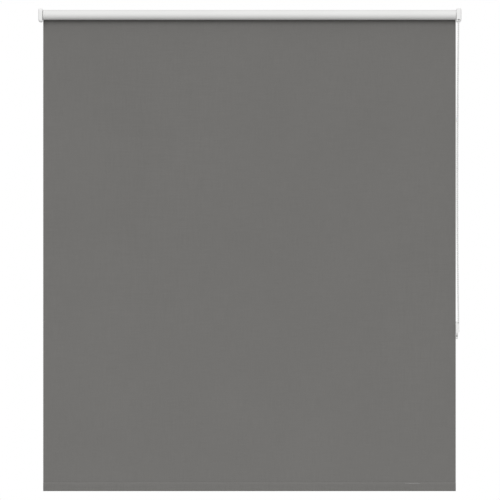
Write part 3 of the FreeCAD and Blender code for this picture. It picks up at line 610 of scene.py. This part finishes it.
def make_chain():
    """The hanging loop as separate beads, and the few beads on the wheel inside the cover."""
    line = spline_line(CHAIN_ROUTE)
    length = line_length(line)
    verts, faces, kinds = bead_mesh(line, BEAD_PITCH / 2)
    hanging = new_piece(
        "bead_chain", verts, faces, [CHAIN, CORD], "root",
        ["bead_chain_hanging"], kinds,
    )
    smooth(hanging, 60)
    connector = make_connector(*along_line(line, length - CONNECTOR_FROM_TOP))
    front, rear = Vector(CHAIN_ROUTE[0]), Vector(CHAIN_ROUTE[-1])
    centre = Vector((front.x, (front.y + rear.y) / 2, Place.roller_axis.z))
    reach = (rear.y - front.y) / 2
    over = [rear] + [
        centre + Vector((0, reach * math.cos(turn), reach * math.sin(turn)))
        for turn in (math.pi * i / 60 for i in range(61))
    ] + [front]
    verts, faces, kinds = bead_mesh(over, BEAD_PITCH / 2)
    inside = new_piece(
        "bead_chain_over_wheel", verts, faces, [CHAIN, CORD], "root",
        ["bead_chain_on_wheel"], kinds,
    )
    smooth(inside, 60)


def make_connector(point, direction):
    """A waisted milky sleeve over the joint in the chain."""
    half, radius, around = 7 * MM, 3 * MM, 24
    profile = [
        (-1.0, 0.62), (-1.0, 0.92), (-0.94, 1.0), (-0.5, 1.0), (-0.3, 0.93), (0.3, 0.93),
        (0.5, 1.0), (0.94, 1.0), (1.0, 0.92), (1.0, 0.62),
    ]
    verts = []
    for along, share in profile:
        verts += ring_at(point + direction * (along * half), direction, share * radius, around)
    faces = tube_faces(len(profile), around, closed_ends=False)
    last = (len(profile) - 1) * around
    faces += [[last + i, last + (i + 1) % around, (i + 1) % around, i] for i in range(around)]
    piece = new_piece(
        "chain_joiner", verts, faces, [CONNECTOR], "root", ["chain_connector"]
    )
    return smooth(piece, 50)


make_chain()


# ---------------------------------------------------------------- cloth


ROLL_SIDES = 192
CLOTH_TURNS = 3

# The roll's faint dents end this far from the blind's middle, short of the cut edges.
DENTED_HALF = 0.62

# Rows of the hanging cloth: close together where it leaves the roll, then evenly down to the hem.
FINE_ROWS = 16
FINE_STEP = 1.2 * MM
ROWS = 120

# The height of the hem's welded strip.
WELD_HEIGHT = 4.2 * MM


def edge_stations(low, high, count, edge=12 * MM, fine=4):
    """Places along X, closer together near both cut edges."""
    inner = [low + edge + (high - low - 2 * edge) * i / count for i in range(count + 1)]
    left = [low + edge * i / fine for i in range(fine)]
    right = [high - edge * (fine - 1 - i) / fine for i in range(fine)]
    return left + inner + right


def ripple(x, z, seed, size, depth):
    """Smooth unevenness of a size and a depth."""
    return noise.noise(Vector((x / size, z / size, seed))) * depth


def make_roll():
    """The wound cloth: its coated side outwards, with the spiral of cut edges at both ends."""
    axis, radius, cloth = Place.roller_axis, Place.roll_radius, Place.cloth_thickness
    stations = edge_stations(Place.cloth_left, Place.cloth_right, 40)
    verts, faces, kinds = [], [], []
    for turn in range(CLOTH_TURNS):
        outer = radius - turn * cloth - 0.01 * MM
        inner = outer - cloth + 0.05 * MM
        start = len(verts)
        for x in stations:
            for side in (outer, inner):
                for i in range(ROLL_SIDES):
                    angle = 2 * math.pi * i / ROLL_SIDES
                    dent = ripple(x, math.cos(angle) * 0.02, 3.0 + turn, 0.09, 0.05 * MM)
                    reach = side + (dent if abs(x) < DENTED_HALF else 0)
                    verts.append((x, axis.y + reach * math.cos(angle), axis.z + reach * math.sin(angle)))
        per = 2 * ROLL_SIDES
        for s in range(len(stations) - 1):
            for layer in (0, ROLL_SIDES):
                for i in range(ROLL_SIDES):
                    k = (i + 1) % ROLL_SIDES
                    a, b = start + s * per + layer, start + (s + 1) * per + layer
                    faces.append([a + i, a + k, b + k, b + i])
                    kinds.append(1 if layer == 0 else 0)
        for s in (0, len(stations) - 1):
            for i in range(ROLL_SIDES):
                k = (i + 1) % ROLL_SIDES
                a = start + s * per
                faces.append([a + i, a + k, a + ROLL_SIDES + k, a + ROLL_SIDES + i])
                kinds.append(0)
    roll = new_piece(
        "cloth_roll", verts, faces, [CLOTH, COATING], "roller",
        ["fabric_roll"], kinds,
    )
    return smooth(roll, 50)


def cloth_place(x, z, top, bottom):
    """How far the hanging cloth stands off its plane: long soft waves that die out at roll and hem."""
    free = min(1.0, (top - z) / 0.25, (z - bottom) / 0.12)
    wave = ripple(x, z * 0.25, 1.0, 0.33, 1.1 * MM) + ripple(x, z, 5.0, 0.55, 0.5 * MM)
    edge = min(x - Place.cloth_left, Place.cloth_right - x) / (9 * MM)
    curl = 0.5 * MM * math.exp(-edge * edge)
    return max(free, 0.0) * (wave + curl)


def make_drop():
    """The hanging cloth, woven side to the room and coated side to the wall."""
    top, bottom = Place.roller_axis.z, Place.hem_high.z
    columns = edge_stations(Place.cloth_left, Place.cloth_right, 110)
    rows = [top - FINE_STEP * i for i in range(FINE_ROWS)]
    first = rows[-1]
    rows += [first + (bottom - first) * i / ROWS for i in range(1, ROWS + 1)]
    front_y, back_y = Place.cloth_low.y, Place.cloth_high.y
    verts = []
    for y in (front_y, back_y):
        for z in rows:
            for x in columns:
                verts.append((x, y + cloth_place(x, z, top, bottom), z))
    wide, high = len(columns), len(rows)
    size = wide * high
    faces, kinds = [], []
    for layer in (0, 1):
        for r in range(high - 1):
            for c in range(wide - 1):
                a = layer * size + r * wide + c
                faces.append([a, a + 1, a + wide + 1, a + wide])
                kinds.append(layer)
    rim = list(range(wide)) + [r * wide + wide - 1 for r in range(1, high)]
    rim += [(high - 1) * wide + c for c in range(wide - 2, -1, -1)]
    rim += [r * wide for r in range(high - 2, 0, -1)]
    for i, a in enumerate(rim):
        b = rim[(i + 1) % len(rim)]
        faces.append([a, b, b + size, a + size])
        kinds.append(0)
    drop = new_piece(
        "cloth_drop", verts, faces, [CLOTH, COATING], "root",
        ["fabric_drop"], kinds,
    )
    return smooth(drop, 60)


def hem_section():
    """The folded cloth's middle line in (y, z): down the front, round the bar and up behind."""
    front = (Place.cloth_low.y + Place.cloth_high.y) / 2
    half = (Place.hem_high.y - Place.hem_low.y) / 2 - Place.cloth_thickness / 2
    middle = (Place.hem_high.y + Place.hem_low.y) / 2
    top, bottom = Place.hem_high.z, Place.hem_low.z + Place.cloth_thickness / 2
    weld = top - WELD_HEIGHT
    # the welded band: heights above its lower edge in mm, and 1 where it is pressed in
    band = [(3.2, 0), (2.9, 1), (0.6, 1), (0.2, 0)]
    front_press, back_press = 0.10 * MM, 0.06 * MM
    # the pocket below it: shares of its half depth, and how far below the weld in mm
    belly = [(-0.22, 1.0), (-0.55, 2.2), (-0.86, 3.6), (-0.98, 5.0), (-1.0, 6.6)]
    belly_low = weld - belly[-1][1] * MM
    line = [(front, top)] + [(front + pressed * front_press, weld + up * MM) for up, pressed in band]
    line += [(middle + share * half, weld - down * MM) for share, down in belly]
    turn_z = bottom + half
    line += [(middle - half, turn_z + (belly_low - turn_z) * i / 5) for i in range(4, 0, -1)]
    line += [
        (middle - half * math.cos(angle), turn_z - half * math.sin(angle))
        for angle in (math.pi * i / 12 for i in range(13))
    ]
    line += [(middle + half, turn_z + (belly_low - turn_z) * i / 5) for i in range(1, 5)]
    line += [(middle - share * half, weld - down * MM) for share, down in belly[::-1]]
    back = front + Place.cloth_thickness
    line += [(back - pressed * back_press, weld + up * MM) for up, pressed in band[::-1]]
    return line + [(back, top - 0.3 * MM)]


def offset_line(line, distance):
    """The line moved sideways by a distance."""
    moved = []
    for i, point in enumerate(line):
        a, b = line[max(i - 1, 0)], line[min(i + 1, len(line) - 1)]
        along = Vector((b[0] - a[0], b[1] - a[1])).normalized()
        moved.append((point[0] + along.y * distance, point[1] - along.x * distance))
    return moved


def make_hem():
    """The hem: cloth folded round the bar and pressed together along the weld."""
    line = hem_section()
    half = Place.cloth_thickness / 2 - 0.005 * MM
    outer, inner = offset_line(line, half), offset_line(line, -half)
    ring = outer + inner[::-1]
    stations = edge_stations(Place.cloth_left, Place.cloth_right, 130)
    verts, faces, kinds = [], [], []
    weld_low = Place.hem_high.z - WELD_HEIGHT
    for x in stations:
        for y, z in ring:
            loose = min(1.0, max(0.0, (weld_low - z) / (6 * MM)))
            sway = ripple(x, z, 9.0, 0.11, 0.16 * MM) + ripple(x, z, 11.0, 0.03, 0.05 * MM)
            verts.append((x, y + loose * sway * 0.7, z))
    around, count = len(ring), len(line)
    for s in range(len(stations) - 1):
        for i in range(around):
            k = (i + 1) % around
            a, b = s * around, (s + 1) * around
            faces.append([a + i, a + k, b + k, b + i])
            kinds.append(1 if count <= i < around - 1 else 0)
    for s in (0, len(stations) - 1):
        for i in range(count - 1):
            a = s * around
            faces.append([a + i, a + i + 1, a + around - 2 - i, a + around - 1 - i])
            kinds.append(0)
    hem = new_piece(
        "cloth_hem", verts, faces, [CLOTH, COATING], "hem",
        ["hem_pocket"], kinds,
    )
    return smooth(hem, 60)


def make_bar_cap(node_name, outwards_sign):
    """The bar's end plug: an oval head with a softly rounded rim."""
    low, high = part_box(node_name)
    middle = (low + high) / 2
    half_y, half_z = (high.y - low.y) / 2, (high.z - low.z) / 2
    outer_x = high.x if outwards_sign > 0 else low.x
    outline = rounded_outline((-half_y, -half_z), (half_y, half_z), [half_y * 0.98] * 4, 10)
    # how far in from the outer face, in mm, and the share of the full thickness
    rows = [
        (11.0, 0.72), (1.6, 0.72), (1.35, 0.98), (1.2, 1.0),
        (0.5, 1.0), (0.2, 0.97), (0.05, 0.9), (0.0, 0.8),
    ]
    verts = []
    for depth, share in rows:
        inset = (1 - share) * half_y
        for y, z in outline:
            verts.append((
                outer_x - outwards_sign * depth * MM,
                middle.y + y * (half_y - inset) / half_y,
                middle.z + z * (half_z - inset) / half_z,
            ))
    faces = tube_faces(len(rows), len(outline))
    piece = new_piece(
        f"{node_name}_plug", verts, faces, [END_CAP], "hem", [node_name]
    )
    return smooth(piece, 40)


def make_cloth():
    """The roll, the drop, the hem and its plugs, and the folded hem's length."""
    roll, drop, hem = make_roll(), make_drop(), make_hem()
    caps = [make_bar_cap("bar_end_cap_left", -1), make_bar_cap("bar_end_cap_right", 1)]
    folded = line_length([Vector((y, z, 0)) for y, z in hem_section()])
    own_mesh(drop)


make_cloth()


# ---------------------------------------------------------------- covers over the brackets


class Cover:
    """One moulded bracket cover: a soft-cornered cup, open behind."""

    wall = 1.6 * MM
    inner_wall = 1.2 * MM
    top_radius = 5.5 * MM
    bottom_radius = 8.2 * MM
    inner_top_radius = 3.4 * MM
    inner_bottom_radius = 2.0 * MM
    smallest_radius = 0.6 * MM
    draft = 0.3 * MM
    front_round = 3.6 * MM
    steps = 12
    # how much of the front rounding each side takes: the underside rounds most, the inner side least
    outer_share, top_share, bottom_share, inner_share = 0.9, 1.0, 2.1, 0.2
    # half the width of the opening round the pin on the left, and round the drive on the right
    pin_opening, drive_opening = 8 * MM, 10 * MM
    # the gap left round the bracket, and how deep the cut for its ceiling flange and wall flange goes
    gap = 0.3 * MM
    ceiling_cut = 4 * MM
    wall_cut = 2.3 * MM
    # the chain's openings: slots in the underside and a notch in the front
    slot_half = 3.2 * MM
    slot_high = 2.4 * MM
    notch_half = 3.7 * MM
    notch_high = 9.4 * MM
    notch_corner = 3.6 * MM
    notch_deep = 8 * MM


def cover_rows(low, high, wall):
    """How the outline shrinks from the wall to the front: (y, inset), with a rounded front edge."""
    depth = high.y - low.y
    rows = [(high.y - depth * share, Cover.draft * share) for share in (0, 0.15, 0.4, 0.65, 0.85)]
    radius = Cover.front_round
    for i in range(1, Cover.steps + 1):
        angle = math.pi / 2 * i / Cover.steps
        y = low.y + wall + radius * (1 - math.sin(angle))
        rows.append((min(y, rows[-1][0] - 0.01 * MM), Cover.draft + radius * (1 - math.cos(angle))))
    return rows


def cover_outline(low, high, side, inset, wall):
    """The cover's front outline at an inset; side is -1 for the left cover and 1 for the right one."""
    outer = inset * Cover.outer_share + wall
    inner = inset * Cover.inner_share + (Cover.inner_wall if wall else 0)
    top = inset * Cover.top_share + wall
    bottom = inset * Cover.bottom_share + wall
    right, left = (outer, inner) if side > 0 else (inner, outer)
    far = (Cover.top_radius, Cover.bottom_radius)
    near = (Cover.inner_top_radius, Cover.inner_bottom_radius)
    right_radii, left_radii = (far, near) if side > 0 else (near, far)
    radii = [
        max(Cover.smallest_radius, radius - (a + b) / 2)
        for radius, a, b in (
            (right_radii[0], right, top), (left_radii[0], left, top),
            (left_radii[1], left, bottom), (right_radii[1], right, bottom),
        )
    ]
    return rounded_outline(
        (low.x + left, low.z + bottom), (high.x - right, high.z - top), radii, 10
    )


def make_cover(node_name, side):
    """The outer and inner skins of a cover, joined round its rear rim, then its openings cut out."""
    low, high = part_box(node_name)
    low = Vector((max(low.x, cad_box[0][0]), low.y, low.z))
    high = Vector((min(high.x, cad_box[1][0]), high.y, high.z))
    verts, around, count = [], 0, 0
    for wall in (0.0, Cover.wall):
        rows = cover_rows(low, high, wall)
        count = len(rows)
        for y, inset in rows:
            outline = cover_outline(low, high, side, inset, wall)
            around = len(outline)
            verts += [(x, y, z) for x, z in outline]
    faces = []
    for half in (0, count):
        for r in range(count - 1):
            for i in range(around):
                k = (i + 1) % around
                a, b = (half + r) * around, (half + r + 1) * around
                faces.append([a + i, a + k, b + k, b + i])
        last = (half + count - 1) * around
        faces.append([last + i for i in range(around)])
    for i in range(around):
        k = (i + 1) % around
        faces.append([i, k, count * around + k, count * around + i])
    piece = new_piece(
        f"{node_name}_shell", verts, faces, [COVER], "root", [node_name]
    )
    cut(piece, cover_cutters(low, high, side))
    return smooth(piece, 32)


def cover_cutters(low, high, side):
    """The openings: over the ceiling flange, round the pin or drive, and at the wall flange."""
    inner_x = low.x if side > 0 else high.x
    inside = high.x - low.x - Cover.inner_wall - Cover.wall
    reach = sorted([inner_x - side * 3 * MM, inner_x + side * (Cover.inner_wall + 0.01 * MM)])
    flange = sorted([inner_x + side * Cover.inner_wall, inner_x + side * inside])
    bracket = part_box("left_bracket")[0]
    axis = Place.roller_axis
    half = Cover.pin_opening if side < 0 else Cover.drive_opening
    cutters = [
        block(flange, (bracket.y - Cover.gap, OVER), (high.z - Cover.ceiling_cut, high.z + OVER)),
        disc((axis.y, axis.z), half, "x", *reach),
        block(reach, (axis.y, OVER), (axis.z - half, axis.z + half)),
        block(reach, (-Cover.wall_cut, OVER), (bracket.z - Cover.gap, high.z - Cover.wall)),
    ]
    if side > 0:
        cutters += chain_cutters(low, inner_x - 2 * MM)
    return cutters


def chain_cutters(low, inner_edge):
    """Where the two strands leave: slots in the underside, and a round-topped notch in the front."""
    x = CHAIN_ROUTE[0][0]
    slot, below = Cover.slot_half, low.z - 4 * MM
    cutters = []
    for y in (CHAIN_ROUTE[0][1], CHAIN_ROUTE[-1][1]):
        cutters.append(block((inner_edge, x), (y - slot, y + slot), (below, low.z + Cover.slot_high)))
        cutters.append(disc((x, y), slot, "z", below, low.z + 4 * MM))
    half, corner, top = Cover.notch_half, Cover.notch_corner, low.z + Cover.notch_high
    outline = [(x + half, low.z - OVER)]
    outline += corner_arc((x + half - corner, top - corner), corner, 0, 8)
    outline += corner_arc((x - half + corner, top - corner), corner, 90, 8)
    outline += [(x - half, low.z - OVER)]
    cutters.append(prism(outline, "y", low.y - OVER, low.y + Cover.notch_deep))
    return cutters


make_cover("left_bracket_cover", -1)
make_cover("right_bracket_cover", 1)


# ---------------------------------------------------------------- chain holder


class Clip:
    """The chain holder: its floor and wall, its curved corners, the way in for the chain, and the tab."""

    floor = -986.5 * MM
    wall = 1.2 * MM
    edge = 0.7 * MM
    # the curve from the floor up to the front: where it starts, its depth and its height
    front_start, front_deep, front_high = -20 * MM, 11 * MM, 13 * MM
    room_start, room_deep, room_high = -19.6 * MM, 10.2 * MM, 12.6 * MM
    room_back = -2.4 * MM
    # how wide the open side's lower corner is cut away; its height is the front curve's
    side_wide = 4.6 * MM
    # the way in at the top of the front: its width there, its curve, and where it runs out at the side
    entry_wide, entry_side = 5.2 * MM, 1.5 * MM
    entry_curve_wide, entry_curve_high = 3.7 * MM, 4 * MM
    entry_straight, entry_high = 5 * MM, 9 * MM
    tab_wide, tab_overlap = 5.4 * MM, 2 * MM
    tab_front, tab_corner, tab_join = -2.4 * MM, 1.6 * MM, 0.05 * MM
    hole_from_side, hole_z, hole_radius = 2.7 * MM, -991.2 * MM, 1.5 * MM


def upturn(y, z, deep, high):
    """The curve from a place on the holder's floor up towards its front."""
    return [
        (y - deep * math.sin(angle), z + high * (1 - math.cos(angle)))
        for angle in quarter_turn(12, 1)
    ]


def make_clip():
    """The holder: a soft-edged cup with one open side, a curved lower corner and a screw tab."""
    low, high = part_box("chain_clip_body")
    floor, wall = Clip.floor, Clip.wall
    past_side, past_top = high.x + OVER, high.z + OVER
    outline = [(high.y, floor), (Clip.front_start, floor)]
    outline += upturn(Clip.front_start, floor, Clip.front_deep, Clip.front_high)
    outline += [(low.y, high.z), (high.y, high.z)]
    verts = [(x, y, z) for x in (low.x, high.x) for y, z in outline]
    faces = tube_faces(2, len(outline))
    piece = new_piece(
        "chain_holder", verts, faces, [CLIP], "root", ["chain_clip_body"]
    )
    bend = [(past_side, floor + Clip.front_high), (past_side, floor - OVER)]
    bend += [(high.x - Clip.side_wide, floor - OVER)]
    bend += [
        (high.x - Clip.side_wide * math.cos(angle), floor + Clip.front_high * math.sin(angle))
        for angle in quarter_turn(12)
    ]
    cut(piece, [prism(bend, "y", low.y - OVER, high.y + OVER)])
    tab = tab_piece(low, high)
    join = piece.modifiers.new("tab", "BOOLEAN")
    join.operation, join.solver, join.object = "UNION", "EXACT", tab
    apply_modifiers(piece)
    bpy.data.objects.remove(tab)
    bevel(piece, Clip.edge, 3, 50)
    room = [(Clip.room_back, past_top), (Clip.room_back, floor + wall)]
    room += [(Clip.room_start, floor + wall)]
    room += upturn(Clip.room_start, floor + wall, Clip.room_deep, Clip.room_high)
    room += [(low.y + wall, past_top)]
    side, top = high.x - Clip.entry_side, high.z - Clip.entry_straight
    entry = [(past_side, past_top), (high.x - Clip.entry_wide, past_top)]
    entry += [
        (side - Clip.entry_curve_wide * math.cos(angle), top - Clip.entry_curve_high * math.sin(angle))
        for angle in quarter_turn(10)
    ]
    entry += [(past_side, high.z - Clip.entry_high)]
    cut(piece, [
        prism(room, "x", low.x + wall, high.x + 2 * OVER),
        prism(entry, "y", low.y - OVER, low.y + 3 * MM),
        disc((low.x + Clip.hole_from_side, Clip.hole_z), Clip.hole_radius, "y", -5 * MM, OVER, 32),
    ])
    smooth(piece, 35)


def tab_piece(low, high):
    """The lower tab, rounded at its free corners, through which the holder is screwed to the wall."""
    outline = rounded_outline(
        (low.x, low.z), (low.x + Clip.tab_wide, Clip.floor + Clip.tab_overlap),
        [Clip.tab_join, Clip.tab_join, Clip.tab_corner, Clip.tab_corner], 6,
    )
    return prism(outline, "y", Clip.tab_front, high.y)


make_clip()


# ---------------------------------------------------------------- CAD pieces


def cad_copy(node_name, name, material, body):
    """A piece with the shape of a CAD node, which it stands for."""
    source = frame["nodes"][node_name]
    mesh = source.data.copy()
    mesh.materials.clear()
    mesh.materials.append(material)
    piece = bpy.data.objects.new(name, mesh)
    bpy.context.scene.collection.objects.link(piece)
    piece.matrix_world = source.matrix_world.copy()
    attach(piece, body)
    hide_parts(node_name)
    return piece


def make_bracket(node_name):
    """A bracket with its edges broken."""
    piece = cad_copy(node_name, f"{node_name}_finished", BRACKET, "root")
    work = bmesh.new()
    work.from_mesh(piece.data)
    bmesh.ops.remove_doubles(work, verts=work.verts, dist=0.001 * MM)
    bmesh.ops.dissolve_limit(work, angle_limit=math.radians(1.0), verts=work.verts, edges=work.edges)
    work.to_mesh(piece.data)
    work.free()
    bevel(piece, 0.25 * MM, 2, 50)
    smooth(piece)


def make_spring():
    """The pin's coil spring, smoothed and given a mesh of its own."""
    piece = cad_copy("idle_spring", "idle_spring_coil", SPRING, "roller")
    smooth(piece)
    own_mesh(piece)


def finish_cad():
    """Give every CAD piece the material of its slot."""
    finishes = {
        "cover_plastic": COVER,
        "bracket_steel": BRACKET,
        "mechanism_plastic": MECHANISM,
        "pin_steel": STEEL,
        "spring_steel": SPRING,
        "tube_aluminium": ALUMINIUM,
        "tape": TAPE,
        "cloth_white_face": COATING,
        "cloth_grey_face": CLOTH,
        "bar_steel": BAR,
        "end_cap_plastic": END_CAP,
        "chain_plastic": CHAIN,
        "connector_plastic": CONNECTOR,
        "clip_plastic": CLIP,
    }
    for part in frame["record"]["subparts"]:
        shown = frame["nodes"][part["node"]]
        for place in shown.material_slots:
            place.material = finishes[part["material_slot"]]


make_spring()
make_bracket("left_bracket")
make_bracket("right_bracket")
finish_cad()


# ---------------------------------------------------------------- light and floor


SKY_ABOVE = 0.60
SKY_BELOW = 0.31
SKY_BLEND = 0.4
KEY_STRENGTH = 0.50
KEY_HEIGHT = math.radians(25)
KEY_SIDE = math.radians(-6)
KEY_SOFTNESS = math.radians(38)
WHITE = (1, 1, 1, 1)
FLOOR_COLOUR = (0.72, 0.72, 0.72)
FLOOR_HALF = 1.3
FLOOR_DROP = 1.1


def make_light():
    """A white studio, brighter above than below, and a wide soft light by the camera."""
    world = bpy.data.worlds.new("studio")
    bpy.context.scene.world = world
    world.use_nodes = True
    tree = world.node_tree
    around = tree.nodes["Background"]
    around.inputs["Color"].default_value = WHITE
    where = node(tree, "ShaderNodeTexCoord")
    split = node(tree, "ShaderNodeSeparateXYZ")
    height = node(tree, "ShaderNodeMapRange", interpolation_type="SMOOTHSTEP")
    tree.links.new(where.outputs["Generated"], split.inputs[0])
    tree.links.new(split.outputs["Z"], height.inputs["Value"])
    height.inputs["From Min"].default_value = -SKY_BLEND
    height.inputs["From Max"].default_value = SKY_BLEND
    height.inputs["To Min"].default_value = SKY_BELOW
    height.inputs["To Max"].default_value = SKY_ABOVE
    tree.links.new(height.outputs[0], around.inputs["Strength"])
    backdrop = node(tree, "ShaderNodeBackground")
    backdrop.inputs["Color"].default_value = WHITE
    path = node(tree, "ShaderNodeLightPath")
    choose = node(tree, "ShaderNodeMixShader")
    tree.links.new(path.outputs["Is Camera Ray"], choose.inputs["Fac"])
    tree.links.new(around.outputs[0], choose.inputs[1])
    tree.links.new(backdrop.outputs[0], choose.inputs[2])
    tree.links.new(choose.outputs[0], tree.nodes["World Output"].inputs["Surface"])
    data = bpy.data.lights.new("key", "SUN")
    data.energy = KEY_STRENGTH * math.pi
    data.angle = KEY_SOFTNESS
    key = bpy.data.objects.new("key", data)
    key.rotation_euler = (math.pi / 2 - KEY_HEIGHT, 0, KEY_SIDE)
    bpy.context.scene.collection.objects.link(key)


def make_floor():
    """A plain pale floor below the blind."""
    half, z = FLOOR_HALF, cad_box[0][2] - FLOOR_DROP
    corners = [(-half, -half, z), (half, -half, z), (half, half, z), (-half, half, z)]
    mesh = bpy.data.meshes.new("floor")
    mesh.from_pydata(corners, [], [(0, 1, 2, 3)])
    material, tree, shader = new_material("floor_pale", FLOOR_COLOUR, 0.8)
    where, _ = position(tree)
    tint(tree, shader, FLOOR_COLOUR, spread(tree, noise_node(tree, where, 2.0), 0.99, 1.01))
    mesh.materials.append(material)
    floor = bpy.data.objects.new("floor", mesh)
    bpy.context.scene.collection.objects.link(floor)


make_light()
make_floor()
bpy.context.scene.view_settings.view_transform = "Standard"
